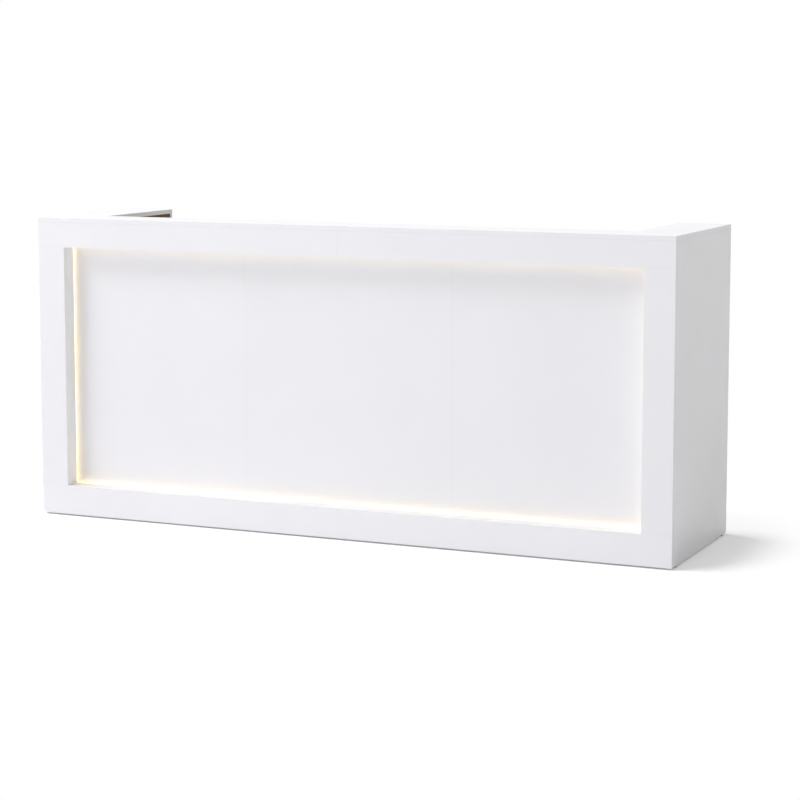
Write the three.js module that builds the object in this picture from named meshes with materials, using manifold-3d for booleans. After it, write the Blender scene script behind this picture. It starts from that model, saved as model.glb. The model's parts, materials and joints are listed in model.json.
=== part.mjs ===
// Reception desk: a white counter with a lit, recessed front and a staff worktop behind it.
// Millimetres. +X runs to the visitor's right, +Y to the staff side and +Z up. The origin lies on
// the floor under the middle of the desk. Left and right are the visitor's, facing the front.

import * as THREE from 'three';
import Module from 'manifold-3d';
import { mergeVertices } from 'three/addons/utils/BufferGeometryUtils.js';

const wasm = await Module();
wasm.setup();

// Overall size
const WIDTH = 2400;
const DEPTH = 652;
const HEIGHT = 1090;

// Boards
const BOARD = 16;
const SLAB = 16;
const WORKTOP = 25;
const EASE = 0.25;
const SEAM = 0.06;

// Clearance of a piece that slides, turns or drops into another
const FIT = 0.3;

// Facets round a turned piece, round a small pin and round half of the lead
const TURNED_FACETS = 32;
const PIN_FACETS = 16;
const LEAD_FACETS = 4;

// Points closer than this are one point
const WELD = 1e-4;

// Counter, front frame and light slot
const LEDGE = 185;
const WING = 185;
const FRAME = 106;
const REVEAL = 64;
const LIGHT_SLOT = 13;
const PANEL_COUNT = 3;
const BATTEN = 80;

// Glides
const GLIDE_HEIGHT = 6;
const GLIDE_DIAMETER = 14;
const GLIDE_CHAMFER = 1.5;
const GLIDE_INSET = 40;

// Light channels and strips
const CHANNEL_DEPTH = 8;
const CHANNEL_WALL = 1.2;
const CHANNEL_SETBACK = 4;
const SLOT_CLEARANCE = 1;
const TAPE = 1;
const CHIP = 5;
const CHIP_HEIGHT = 1.6;
const CHIP_PITCH = 50;

// Driver of the lights and its lead
const DRIVER_WIDTH = 44;
const DRIVER_DEPTH = 30;
const DRIVER_LENGTH = 160;
const DRIVER_DROP = 90;
const DRIVER_PLATE = 2;
const DRIVER_EAR = 18;
const DRIVER_SCREW = 5;
const FIN_COUNT = 5;
const FIN_DEPTH = 3;
const INLET_WIDTH = 20;
const INLET_HEIGHT = 9;
const INLET_DEPTH = 12;
const LEAD_DIAMETER = 3.5;
const LEAD_BEND = 6;
const LEAD_RISE = 12;
const LEAD_HOLE = 9;
const LEAD_STEP = 0.7;

// Light switch
const SWITCH_WIDTH = 22;
const SWITCH_HEIGHT = 28;
const SWITCH_DEPTH = 22;
const SWITCH_INSET = 110;
const SWITCH_DROP = 80;
const BEZEL_MARGIN = 2;
const BEZEL_THICKNESS = 2;
const BEZEL_CORNER = 2;
const ROCKER_WIDTH = 13.4;
const ROCKER_LENGTH = 19;
const ROCKER_RISE = 4;
const ROCKER_DIP = 2.5;
const ROCKER_TILT = THREE.MathUtils.degToRad(9);
const POCKET_DEPTH = 11;
const PIVOT_DEPTH = 4;
const PIVOT_DIAMETER = 3;
const PIVOT_LENGTH = 1.5;

// Worktop, its middle gable and its cable port
const WORKTOP_HEIGHT = 740;
const CENTRE_GABLE = 360;
const PORT_DIAMETER = 60;
const PORT_INSET = 80;
const RING_LIP = 5;
const RING_LIP_HEIGHT = 2.5;
const RING_WALL = 2;
const RING_LEDGE = 2;
const RING_LEDGE_HEIGHT = 2;
const CAP_HOLE = 16;
const CAP_HOLE_OFFSET = 14;

// Pedestal and drawers
const PEDESTAL = 420;
const FRONT_SETBACK = 26;
const FRONT_GAP = 3;
const UPPER_FRONT = 165;
const LOWER_FRONT = 394;
const UPPER_BOX = 110;
const LOWER_BOX = 250;
const BOX_BACK_GAP = 51;
const BOX_WALL = 15;
const BOX_FLOOR = 10;
const BOX_LIFT = 8;
const BOX_SIDE_GAP = 3;
const GROOVE_DEPTH = 7.5;
const RUNNER_HEIGHT = 12;
const RUNNER_SETBACK = 20;

// Drawer handles and lock
const HANDLE_LENGTH = 160;
const HANDLE_PROJECTION = 25;
const HANDLE_BAR = 8;
const HANDLE_HEIGHT = 10;
const HANDLE_CORNER = 10;
const HANDLE_DROP = 60;
const HANDLE_STEP = 2;
const LOCK_DIAMETER = 18;
const LOCK_RIM = 1.5;
const LOCK_RIM_HEIGHT = 2;
const LOCK_INSET = 50;
const KEYWAY_LENGTH = 9;
const KEYWAY_WIDTH = 2;
const KEYWAY_DEPTH = 4;

// Faces that the pieces share
const X_OUT = WIDTH / 2;
const X_IN = X_OUT - BOARD;
const X_RECESS = X_OUT - FRAME;
const X_LINING = X_RECESS + BOARD;
const X_WING = X_OUT - WING;
const X_SEAM = X_IN / PANEL_COUNT;
const X_PEDESTAL = X_WING - PEDESTAL;
const X_CARCASS = X_PEDESTAL + BOARD;
const Y_FRONT = -DEPTH / 2;
const Y_BACK = DEPTH / 2;
const Y_FACE = Y_FRONT + BOARD;
const Y_REVEAL = Y_FRONT + REVEAL;
const Y_PANEL = Y_REVEAL + LIGHT_SLOT;
const Y_WALL = Y_PANEL + BOARD;
const Y_END = Y_BACK - BOARD;
const Y_DRAWER = Y_END - FRONT_SETBACK;
const Y_CARCASS = Y_DRAWER - BOARD;
const Z_BASE = GLIDE_HEIGHT;
const Z_SLAB = HEIGHT - SLAB;
const Z_HEAD = HEIGHT - FRAME;
const Z_SILL = Z_BASE + FRAME;
const Z_DESK = WORKTOP_HEIGHT - WORKTOP;
const X_SERVICE = -(X_IN + X_SEAM) / 2;
const BOX_LENGTH = Y_CARCASS - Y_WALL - BOX_BACK_GAP;
const SIDES = [['left', -1], ['right', 1]];

// Drawers from the top down
const DRAWERS = [
  { name: 'upper', front: UPPER_FRONT, box: UPPER_BOX, locked: true },
  { name: 'lower', front: LOWER_FRONT, box: LOWER_BOX, locked: false },
];

// Finishes
const finish = (color, roughness, metalness) =>
  new THREE.MeshStandardMaterial({ color, roughness, metalness });
const whiteBoard = finish(0xf2f2f3, 0.35, 0);
const woodDecor = finish(0x957a5c, 0.45, 0);
const driverCase = finish(0xb9bcc0, 0.45, 0.9);
const channelMetal = finish(0xc8cacd, 0.35, 0.9);
const lightStrip = finish(0xfff1d0, 0.5, 0);
const leadSheath = finish(0xe4e4e2, 0.5, 0);
const greyPlastic = finish(0x8b8d90, 0.5, 0);
const blackPlastic = finish(0x1c1c1e, 0.4, 0);
const steel = finish(0xbfc2c6, 0.3, 0.95);
const drawerBoard = finish(0xdcdcda, 0.55, 0);

// Axes of a board: the two of its outline, then that of its thickness, always in turning order.
const AXES = { x: 'yzx', y: 'zxy', z: 'xyz' };
const order = (axis) => [...AXES[axis]].map((letter) => AXES.z.indexOf(letter));
const turnTo = (axis) => {
  const units = order(axis).map((i) => new THREE.Vector3().setComponent(i, 1));
  return new THREE.Matrix4().makeBasis(...units);
};

const points = (pairs) => pairs.map(([x, y]) => new THREE.Vector2(x, y));
const rectangle = (width, height) => points([[0, 0], [width, 0], [width, height], [0, height]]);
const circle = (x, y, radius) => new THREE.Path().absarc(x, y, radius, 0, 2 * Math.PI);
const slot = (x, y, width, height) =>
  new THREE.Path(rectangle(width, height).map((p) => p.add(new THREE.Vector2(x, y))));

// Span on one side of the desk's middle, from its near to its far distance
const across = (side, near, far) => (side < 0 ? [-far, -near] : [near, far]);
const middle = ([low, high]) => (low + high) / 2;

function mesh(name, geometry, material) {
  const piece = new THREE.Mesh(geometry, material);
  piece.name = name;
  return piece;
}

// A board between three spans, with eased arrises round its two faces and half a seam off all round.
// An outline or holes, if it has them, start from its low corner.
function board(name, axis, spans, material, { outline, holes = [] } = {}) {
  const [u, v, w] = order(axis).map((i) => spans[i][1] - spans[i][0]);
  const shape = new THREE.Shape(outline ?? rectangle(u, v));
  shape.holes = holes;
  const geometry = new THREE.ExtrudeGeometry(shape, {
    depth: w - SEAM - 2 * EASE,
    bevelThickness: EASE,
    bevelSize: EASE,
    bevelOffset: -EASE - SEAM / 2,
    bevelSegments: 1,
  });
  geometry.translate(0, 0, EASE + SEAM / 2);
  const piece = mesh(name, geometry.applyMatrix4(turnTo(axis)), material);
  piece.position.set(...spans.map(([low]) => low));
  return piece;
}

// A straight bar of one section along an axis, starting at zero
function bar(shape, axis, length) {
  const geometry = new THREE.ExtrudeGeometry(shape, { depth: length, bevelEnabled: false });
  return geometry.applyMatrix4(turnTo(axis));
}

// A block between three spans
function block(spans) {
  const size = spans.map(([low, high]) => high - low);
  return new THREE.BoxGeometry(...size).translate(...spans.map(middle));
}

// A path through corner points with its corners rounded off
function roundedPath(corners, radius) {
  const path = new THREE.CurvePath();
  let start = corners[0];
  corners.slice(1, -1).forEach((corner, i) => {
    const [from, to] = [corners[i], corners[i + 2]].map(
      (other) => corner.clone().add(other.clone().sub(corner).setLength(radius)),
    );
    path.add(new THREE.LineCurve3(start, from));
    path.add(new THREE.QuadraticBezierCurve3(from, corner, to));
    start = to;
  });
  path.add(new THREE.LineCurve3(start, corners.at(-1)));
  return path;
}

// A turned piece about +Z from pairs of radius and height
function turned(profile) {
  return new THREE.LatheGeometry(points(profile), TURNED_FACETS).rotateX(Math.PI / 2);
}

function solid(geometry) {
  const bare = geometry.clone();
  bare.deleteAttribute('normal');
  bare.deleteAttribute('uv');
  const merged = mergeVertices(bare, WELD);
  return new wasm.Manifold(new wasm.Mesh({
    numProp: 3,
    vertProperties: merged.attributes.position.array,
    triVerts: Uint32Array.from(merged.index.array),
  }));
}

function shell(body) {
  const { vertProperties, triVerts } = body.getMesh();
  const geometry = new THREE.BufferGeometry();
  geometry.setAttribute('position', new THREE.BufferAttribute(vertProperties, 3));
  geometry.setIndex(new THREE.BufferAttribute(triVerts, 1));
  return geometry;
}

const join = (...geometries) => shell(geometries.map(solid).reduce((a, b) => a.add(b)));
const cut = (...geometries) => shell(geometries.map(solid).reduce((a, b) => a.subtract(b)));

function group(...children) {
  const holder = new THREE.Group();
  children.forEach((child) => holder.add(child));
  return holder;
}

// Counter: two L-shaped slabs, each a half of the front ledge with the wing of its side
function counter() {
  const outline = (side) => points([
    [0, 0], [X_OUT, 0], [X_OUT, LEDGE], [WING, LEDGE], [WING, DEPTH], [0, DEPTH],
  ].map(([x, y]) => [side < 0 ? x : X_OUT - x, y]));
  return group(...SIDES.map(([hand, side]) => board(
    `counter_top_${hand}`, 'z',
    [across(side, 0, X_OUT), [Y_FRONT, Y_BACK], [Z_SLAB, HEIGHT]],
    whiteBoard, { outline: outline(side) },
  )));
}

// Front frame: rails in two halves, stiles between them, and the linings of the recess
function frontFrame() {
  const face = [Y_FRONT, Y_FACE];
  const lining = [Y_FACE, Y_REVEAL];
  const opening = [Z_SILL, Z_HEAD];
  const full = [-X_LINING, X_LINING];
  const holder = group(
    board('reveal_top', 'z', [full, lining, [Z_HEAD, Z_HEAD + BOARD]], whiteBoard),
    board('reveal_bottom', 'z', [full, lining, [Z_SILL - BOARD, Z_SILL]], whiteBoard),
  );
  for (const [hand, side] of SIDES) {
    const half = across(side, 0, X_OUT);
    holder.add(
      board(`top_rail_${hand}`, 'y', [half, face, [Z_HEAD, Z_SLAB]], whiteBoard),
      board(`bottom_rail_${hand}`, 'y', [half, face, [Z_BASE, Z_SILL]], whiteBoard),
      board(`stile_${hand}`, 'y', [across(side, X_RECESS, X_OUT), face, opening], whiteBoard),
      board(`reveal_${hand}`, 'x', [across(side, X_RECESS, X_LINING), lining, opening], whiteBoard),
    );
  }
  return holder;
}

// Route of the lead: out of the driver, down the wall, through the left panel and up to the channel
const LEAD_Y = Y_WALL + DRIVER_DEPTH / 2;
const LEAD_WALL_Y = Y_WALL + LEAD_DIAMETER / 2 + FIT;
const LEAD_END_Y = Y_PANEL - (LIGHT_SLOT - SLOT_CLEARANCE) / 2;
const LEAD_END_Z = Z_SILL - CHANNEL_SETBACK - CHANNEL_DEPTH - FIT;
const LEAD_HOLE_Z = LEAD_END_Z - LEAD_RISE;

// Walls: the recessed panel in equal boards, sides, wing ends, gables, battens and base board
function walls() {
  const tall = [Z_BASE, Z_SLAB];
  const low = [Z_BASE, Z_DESK];
  const holder = group();
  ['left', 'centre', 'right'].forEach((place, i) => {
    const x = [i, i + 1].map((n) => X_SEAM * (2 * n - PANEL_COUNT));
    const leadHole = circle(LEAD_HOLE_Z - Z_BASE, X_SERVICE - x[0], LEAD_HOLE / 2);
    const holes = place === 'left' ? [leadHole] : [];
    holder.add(board(`front_panel_${place}`, 'y', [x, [Y_PANEL, Y_WALL], tall], whiteBoard, { holes }));
  });
  for (const [hand, side] of SIDES) {
    const gable = [across(side, X_WING, X_WING + BOARD), [Y_WALL, Y_END], low];
    const batten = [side * X_SEAM - BATTEN / 2, side * X_SEAM + BATTEN / 2];
    const switchHole = slot(
      Y_END - SWITCH_INSET - SWITCH_WIDTH / 2 - Y_WALL,
      Z_DESK - SWITCH_DROP - SWITCH_HEIGHT / 2 - Z_BASE,
      SWITCH_WIDTH, SWITCH_HEIGHT,
    );
    const holes = hand === 'left' ? [switchHole] : [];
    holder.add(
      board(`side_panel_${hand}`, 'x', [across(side, X_IN, X_OUT), [Y_FACE, Y_BACK], tall], whiteBoard),
      board(`end_panel_${hand}`, 'y', [across(side, X_WING, X_IN), [Y_END, Y_BACK], tall], whiteBoard),
      board(`gable_${hand}`, 'x', gable, whiteBoard, { holes }),
      board(`panel_batten_${hand}`, 'y', [batten, [Y_WALL, Y_WALL + BOARD], low], whiteBoard),
    );
  }
  const base = [[-X_IN, X_IN], [Y_FACE, Y_PANEL], [Z_BASE, Z_BASE + BOARD]];
  const centre = [[-BOARD / 2, BOARD / 2], [Y_WALL, Y_WALL + CENTRE_GABLE], low];
  holder.add(
    board('base_board', 'z', base, whiteBoard),
    board('gable_centre', 'x', centre, whiteBoard),
  );
  return holder;
}

// Glides: turned pads under the side panels, the base board and the middle gable
function glides() {
  const radius = GLIDE_DIAMETER / 2;
  const pad = turned([
    [0, 0], [radius - GLIDE_CHAMFER, 0], [radius, GLIDE_CHAMFER], [radius, GLIDE_HEIGHT], [0, GLIDE_HEIGHT],
  ]);
  const glide = (place, x, y) => {
    const piece = mesh(`glide_${place}`, pad, greyPlastic);
    piece.position.set(x, y, 0);
    return piece;
  };
  const holder = group(
    glide('front_centre', 0, (Y_FACE + Y_PANEL) / 2),
    glide('back_centre', 0, Y_WALL + CENTRE_GABLE - GLIDE_INSET),
  );
  for (const [hand, side] of SIDES) {
    const x = side * (X_OUT - BOARD / 2);
    holder.add(
      glide(`front_${hand}`, x, Y_FACE + GLIDE_INSET),
      glide(`back_${hand}`, x, Y_BACK - GLIDE_INSET),
    );
  }
  return holder;
}

// A light channel along X: a U section whose mouth faces +Z and whose back leg lies on the panel
const CHANNEL_WIDTH = LIGHT_SLOT - SLOT_CLEARANCE;

function channel(length) {
  const inner = CHANNEL_WIDTH - CHANNEL_WALL;
  const section = new THREE.Shape(points([
    [0, 0], [CHANNEL_WIDTH, 0], [CHANNEL_WIDTH, CHANNEL_DEPTH], [inner, CHANNEL_DEPTH],
    [inner, CHANNEL_WALL], [CHANNEL_WALL, CHANNEL_WALL], [CHANNEL_WALL, CHANNEL_DEPTH], [0, CHANNEL_DEPTH],
  ]));
  return bar(section, 'x', length).translate(-length / 2, 0, 0);
}

// A strip of lights on the floor of a channel: a tape with chips at an even pitch
function strip(length) {
  const tapeEnd = length / 2 - FIT;
  const edge = CHANNEL_WALL + FIT;
  const seat = CHANNEL_WALL + SEAM;
  const tape = block([[-tapeEnd, tapeEnd], [edge, CHANNEL_WIDTH - edge], [seat, seat + TAPE]]);
  const count = Math.floor(length / CHIP_PITCH);
  const chips = Array.from({ length: count }, (_, i) => {
    const x = (i - (count - 1) / 2) * CHIP_PITCH;
    const y = CHANNEL_WIDTH / 2;
    return block([
      [x - CHIP / 2, x + CHIP / 2],
      [y - CHIP / 2, y + CHIP / 2],
      [seat + TAPE / 2, seat + TAPE + CHIP_HEIGHT],
    ]);
  });
  return join(tape, ...chips);
}

// Lights: the same channel and strip turned to each side of the recess
function lights() {
  const holder = group();
  holder.position.set(0, Y_PANEL - SEAM - CHANNEL_WIDTH, (Z_SILL + Z_HEAD) / 2);
  const tall = Z_HEAD - Z_SILL;
  const wide = 2 * X_RECESS;
  const runs = [
    ['bottom', 0, wide, tall], ['left', 1, tall, wide], ['top', 2, wide, tall], ['right', 3, tall, wide],
  ];
  for (const [place, quarter, length, gap] of runs) {
    const pieces = [
      mesh(`led_channel_${place}`, channel(length), channelMetal),
      mesh(`led_strip_${place}`, strip(length), lightStrip),
    ];
    pieces.forEach((piece) => piece.position.set(0, 0, -gap / 2 - CHANNEL_SETBACK - CHANNEL_DEPTH));
    const run = group(...pieces);
    run.rotation.y = quarter * Math.PI / 2;
    holder.add(run);
  }
  return holder;
}

// Driver: a finned case on an eared plate, with a mains inlet in its top end
const DRIVER_LOW = Z_DESK - DRIVER_DROP - DRIVER_LENGTH;

function driver() {
  const pitch = DRIVER_WIDTH / (2 * FIN_COUNT - 1);
  const fins = Array.from({ length: FIN_COUNT }, (_, i) => {
    const right = DRIVER_WIDTH - 2 * i * pitch;
    const root = DRIVER_DEPTH - FIN_DEPTH;
    return [[right, root], [right, DRIVER_DEPTH], [right - pitch, DRIVER_DEPTH], [right - pitch, root]];
  }).flat();
  const section = new THREE.Shape(points([[0, 0], [DRIVER_WIDTH, 0], ...fins]));
  const inlet = block([
    [(DRIVER_WIDTH - INLET_WIDTH) / 2, (DRIVER_WIDTH + INLET_WIDTH) / 2],
    [(DRIVER_DEPTH - INLET_HEIGHT) / 2, (DRIVER_DEPTH + INLET_HEIGHT) / 2],
    [DRIVER_LENGTH - INLET_DEPTH, DRIVER_LENGTH + INLET_DEPTH],
  ]);
  const plate = new THREE.Shape(rectangle(DRIVER_LENGTH + 2 * DRIVER_EAR, DRIVER_WIDTH));
  plate.holes = [DRIVER_EAR / 2, DRIVER_LENGTH + 1.5 * DRIVER_EAR].map(
    (z) => circle(z, DRIVER_WIDTH / 2, DRIVER_SCREW / 2),
  );
  const ears = bar(plate, 'y', DRIVER_PLATE).translate(0, 0, -DRIVER_EAR);
  const piece = mesh('led_driver', join(cut(bar(section, 'z', DRIVER_LENGTH), inlet), ears), driverCase);
  piece.position.set(X_SERVICE - DRIVER_WIDTH / 2, Y_WALL + SEAM, DRIVER_LOW);
  return piece;
}

function lead() {
  const turnZ = DRIVER_LOW - DRIVER_EAR - 2 * LEAD_BEND;
  const corners = [
    [LEAD_Y, DRIVER_LOW - FIT], [LEAD_Y, turnZ], [LEAD_WALL_Y, turnZ],
    [LEAD_WALL_Y, LEAD_HOLE_Z], [LEAD_END_Y, LEAD_HOLE_Z], [LEAD_END_Y, LEAD_END_Z],
  ].map(([y, z]) => new THREE.Vector3(0, y, z));
  const section = new THREE.Shape().absarc(0, 0, LEAD_DIAMETER / 2, 0, 2 * Math.PI);
  const extrudePath = roundedPath(corners, LEAD_BEND);
  const steps = Math.ceil(extrudePath.getLength() / (LEAD_DIAMETER * LEAD_STEP));
  const geometry = new THREE.ExtrudeGeometry(section, { extrudePath, steps, curveSegments: LEAD_FACETS });
  const piece = mesh('led_lead', geometry, leadSheath);
  piece.position.x = X_SERVICE;
  return piece;
}

// Light switch in the left gable: a framed body with a pocket, and a rocker on two short pins.
// Its own X runs along the desk's Y, its Y up and its Z out of the gable.
function lightSwitch() {
  const centred = ([width, height], low, high) =>
    [[-width / 2, width / 2], [-height / 2, height / 2], [low, high]];
  const pocketWidth = ROCKER_WIDTH + 2 * FIT;
  const reach = Math.hypot(ROCKER_LENGTH / 2, ROCKER_RISE + PIVOT_DEPTH);
  const swing = Math.atan2(ROCKER_LENGTH / 2, ROCKER_RISE + PIVOT_DEPTH) + ROCKER_TILT;
  const pocketLength = 2 * (reach * Math.sin(swing) + FIT);
  const bezel = new THREE.Shape();
  const right = SWITCH_WIDTH / 2 + BEZEL_MARGIN - BEZEL_CORNER;
  const top = SWITCH_HEIGHT / 2 + BEZEL_MARGIN - BEZEL_CORNER;
  bezel.absarc(right, top, BEZEL_CORNER, 0, Math.PI / 2);
  bezel.absarc(-right, top, BEZEL_CORNER, Math.PI / 2, Math.PI);
  bezel.absarc(-right, -top, BEZEL_CORNER, Math.PI, 1.5 * Math.PI);
  bezel.absarc(right, -top, BEZEL_CORNER, 1.5 * Math.PI, 2 * Math.PI);
  const rim = bar(bezel, 'z', BEZEL_THICKNESS);
  const bodySize = [SWITCH_WIDTH - 2 * FIT, SWITCH_HEIGHT - 2 * FIT];
  const body = block(centred(bodySize, -SWITCH_DEPTH, BEZEL_THICKNESS / 2));
  const pocket = block(centred([pocketWidth, pocketLength], -POCKET_DEPTH, 2 * BEZEL_THICKNESS));
  const pin = (diameter, length) =>
    new THREE.CylinderGeometry(diameter / 2, diameter / 2, length, PIN_FACETS).rotateZ(Math.PI / 2);
  const pinHole = pin(PIVOT_DIAMETER + 2 * FIT, pocketWidth + 2 * (PIVOT_LENGTH + FIT));
  pinHole.translate(0, 0, -PIVOT_DEPTH);
  const frame = mesh('switch_frame', cut(join(rim, body), pocket, pinHole), blackPlastic);

  const half = ROCKER_LENGTH / 2;
  const crown = PIVOT_DEPTH + ROCKER_RISE;
  const side = new THREE.Shape(points([
    [-PIVOT_DIAMETER, -PIVOT_DIAMETER], [PIVOT_DIAMETER, -PIVOT_DIAMETER], [half, PIVOT_DIAMETER / 2],
    [half, crown], [0, crown - ROCKER_DIP], [-half, crown], [-half, PIVOT_DIAMETER / 2],
  ]));
  const paddle = bar(side, 'x', ROCKER_WIDTH).translate(-ROCKER_WIDTH / 2, 0, 0);
  const pins = pin(PIVOT_DIAMETER, pocketWidth + 2 * PIVOT_LENGTH);
  const rocker = mesh('switch_rocker', join(paddle, pins), blackPlastic);
  rocker.position.z = -PIVOT_DEPTH;
  rocker.rotation.x = -ROCKER_TILT;

  const holder = group(frame, rocker);
  holder.quaternion.setFromRotationMatrix(turnTo('x'));
  holder.position.set(-X_WING, Y_END - SWITCH_INSET, Z_DESK - SWITCH_DROP);
  return holder;
}

// Worktop in two halves, with a cable port in the left half
function worktop() {
  const y = [Y_WALL, Y_END];
  const portY = Y_WALL + PORT_INSET;
  const hole = circle(X_SERVICE + X_IN, portY - Y_WALL, PORT_DIAMETER / 2);
  const holder = group();
  for (const [hand, side] of SIDES) {
    const holes = hand === 'left' ? [hole] : [];
    const spans = [across(side, 0, X_IN), y, [Z_DESK, WORKTOP_HEIGHT]];
    holder.add(board(`worktop_${hand}`, 'z', spans, woodDecor, { holes }));
  }

  const sleeve = PORT_DIAMETER / 2 - FIT;
  const lip = PORT_DIAMETER / 2 + RING_LIP;
  const seat = sleeve - RING_WALL;
  const bore = seat - RING_LEDGE;
  const ledge = RING_LIP_HEIGHT - RING_LEDGE_HEIGHT;
  const ring = mesh('port_ring', turned([
    [bore, -WORKTOP], [sleeve, -WORKTOP], [sleeve, SEAM], [lip, SEAM], [lip, RING_LIP_HEIGHT / 2],
    [lip - RING_LIP_HEIGHT / 2, RING_LIP_HEIGHT], [seat, RING_LIP_HEIGHT], [seat, ledge], [bore, ledge],
    [bore, -WORKTOP],
  ]), greyPlastic);
  const disc = new THREE.Shape().absarc(0, 0, seat - FIT, 0, 2 * Math.PI);
  disc.holes = [circle(CAP_HOLE_OFFSET, 0, CAP_HOLE / 2)];
  const cap = mesh('port_cap', bar(disc, 'z', RING_LEDGE_HEIGHT - FIT), greyPlastic);
  cap.position.z = ledge + FIT;
  const port = group(ring, cap);
  port.position.set(X_SERVICE, portY, WORKTOP_HEIGHT);
  holder.add(port);
  return holder;
}

// Drawer box with an open top and a groove along the middle of each side for its runner
function drawerBox(width, height) {
  const groove = [(height - RUNNER_HEIGHT) / 2 - FIT, (height + RUNNER_HEIGHT) / 2 + FIT];
  const cavity = block([
    [BOX_WALL, width - BOX_WALL], [BOX_WALL, BOX_LENGTH - BOX_WALL], [BOX_FLOOR, 2 * height],
  ]);
  const grooves = [[-BOX_WALL, GROOVE_DEPTH], [width - GROOVE_DEPTH, width + BOX_WALL]].map(
    (x) => block([x, [-BOX_WALL, BOX_LENGTH + BOX_WALL], groove]),
  );
  return cut(block([[0, width], [0, BOX_LENGTH], [0, height]]), cavity, ...grooves);
}

// Handle: a flat bar bent to a bow, its two feet on the drawer front
function handle() {
  const half = (HANDLE_LENGTH - HANDLE_BAR) / 2;
  const out = HANDLE_PROJECTION - HANDLE_BAR / 2;
  const corners = [[-half, 0], [-half, out], [half, out], [half, 0]].map(
    ([x, y]) => new THREE.Vector3(x, y, 0),
  );
  const section = new THREE.Shape(rectangle(HANDLE_HEIGHT, HANDLE_BAR).map(
    (p) => p.sub(new THREE.Vector2(HANDLE_HEIGHT / 2, HANDLE_BAR / 2)),
  ));
  const extrudePath = roundedPath(corners, HANDLE_CORNER);
  const steps = Math.ceil(extrudePath.getLength() / HANDLE_STEP);
  return new THREE.ExtrudeGeometry(section, { extrudePath, steps });
}

// Lock: a rimmed barrel with a keyway, turned about its own length
function lock() {
  const barrel = LOCK_DIAMETER / 2;
  const rim = barrel + LOCK_RIM;
  const body = turned([
    [0, -BOARD], [barrel, -BOARD], [barrel, SEAM], [rim, SEAM], [rim, LOCK_RIM_HEIGHT / 2],
    [rim - LOCK_RIM_HEIGHT / 2, LOCK_RIM_HEIGHT], [0, LOCK_RIM_HEIGHT],
  ]);
  const keyway = block([
    [-KEYWAY_WIDTH / 2, KEYWAY_WIDTH / 2], [-KEYWAY_LENGTH / 2, KEYWAY_LENGTH / 2],
    [LOCK_RIM_HEIGHT - KEYWAY_DEPTH, LOCK_RIM_HEIGHT + KEYWAY_DEPTH],
  ]);
  return cut(body, keyway);
}

// One drawer under a given height: front, box, handle and runners, with a lock where it has one
function drawer({ name, front, box, locked }, top) {
  const frontX = [X_PEDESTAL, X_WING - FRONT_GAP];
  const frontZ = [top - FRONT_GAP - front, top - FRONT_GAP];
  const boxX = [X_CARCASS + BOX_SIDE_GAP, X_WING - BOX_SIDE_GAP];
  const boxBack = Y_CARCASS - BOX_LENGTH;
  const boxLow = frontZ[0] + BOARD + BOX_LIFT;
  const handleZ = frontZ[1] - HANDLE_DROP;
  const lockX = frontX[1] - LOCK_INSET;
  const lockHole = circle(handleZ - frontZ[0], lockX - frontX[0], LOCK_DIAMETER / 2 + FIT);
  const face = [frontX, [Y_CARCASS, Y_DRAWER], frontZ];
  const holes = locked ? [lockHole] : [];

  const tray = mesh(`drawer_box_${name}`, drawerBox(boxX[1] - boxX[0], box), drawerBoard);
  tray.position.set(boxX[0], boxBack - SEAM, boxLow);
  const pull = mesh(`drawer_handle_${name}`, handle(), steel);
  pull.position.set(middle(frontX), Y_DRAWER + SEAM, handleZ);
  const pieces = group(board(`drawer_front_${name}`, 'y', face, whiteBoard, { holes }), tray, pull);

  const reach = BOX_SIDE_GAP + GROOVE_DEPTH - FIT;
  const runnerY = [boxBack + RUNNER_SETBACK, Y_CARCASS - RUNNER_SETBACK];
  const runnerZ = [boxLow + (box - RUNNER_HEIGHT) / 2, boxLow + (box + RUNNER_HEIGHT) / 2];
  const runnerX = { left: [X_CARCASS, X_CARCASS + reach], right: [X_WING - reach, X_WING] };
  for (const [hand, x] of Object.entries(runnerX)) {
    pieces.add(board(`drawer_runner_${name}_${hand}`, 'x', [x, runnerY, runnerZ], greyPlastic));
  }
  if (locked) {
    const barrel = mesh('drawer_lock', lock(), steel);
    barrel.position.set(lockX, Y_DRAWER, handleZ);
    barrel.rotation.x = -Math.PI / 2;
    pieces.add(barrel);
  }
  return pieces;
}

// Pedestal hung under the worktop between its own side board and the right gable
function pedestal() {
  const tops = DRAWERS.reduce((list, { front }) => [...list, list.at(-1) - front - FRONT_GAP], [Z_DESK]);
  const low = tops.at(-1);
  const depth = [Y_WALL, Y_CARCASS];
  return group(
    board('pedestal_side', 'x', [[X_PEDESTAL, X_CARCASS], depth, [low, Z_DESK]], whiteBoard),
    board('pedestal_bottom', 'z', [[X_CARCASS, X_WING], depth, [low, low + BOARD]], whiteBoard),
    ...DRAWERS.map((size, i) => drawer(size, tops[i])),
  );
}

const desk = group(
  counter(), frontFrame(), walls(), worktop(), pedestal(), glides(),
  lights(), driver(), lead(), lightSwitch(),
);

export default desk;
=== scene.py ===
"""Looks of the reception desk: finishes for its boards, small fittings and a white studio.

Metres. +X runs to the visitor's right, +Y to the staff side and +Z up; the origin lies on the floor
under the middle of the desk.
"""

import json
import logging
import math
from dataclasses import dataclass, replace
from enum import Enum

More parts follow.
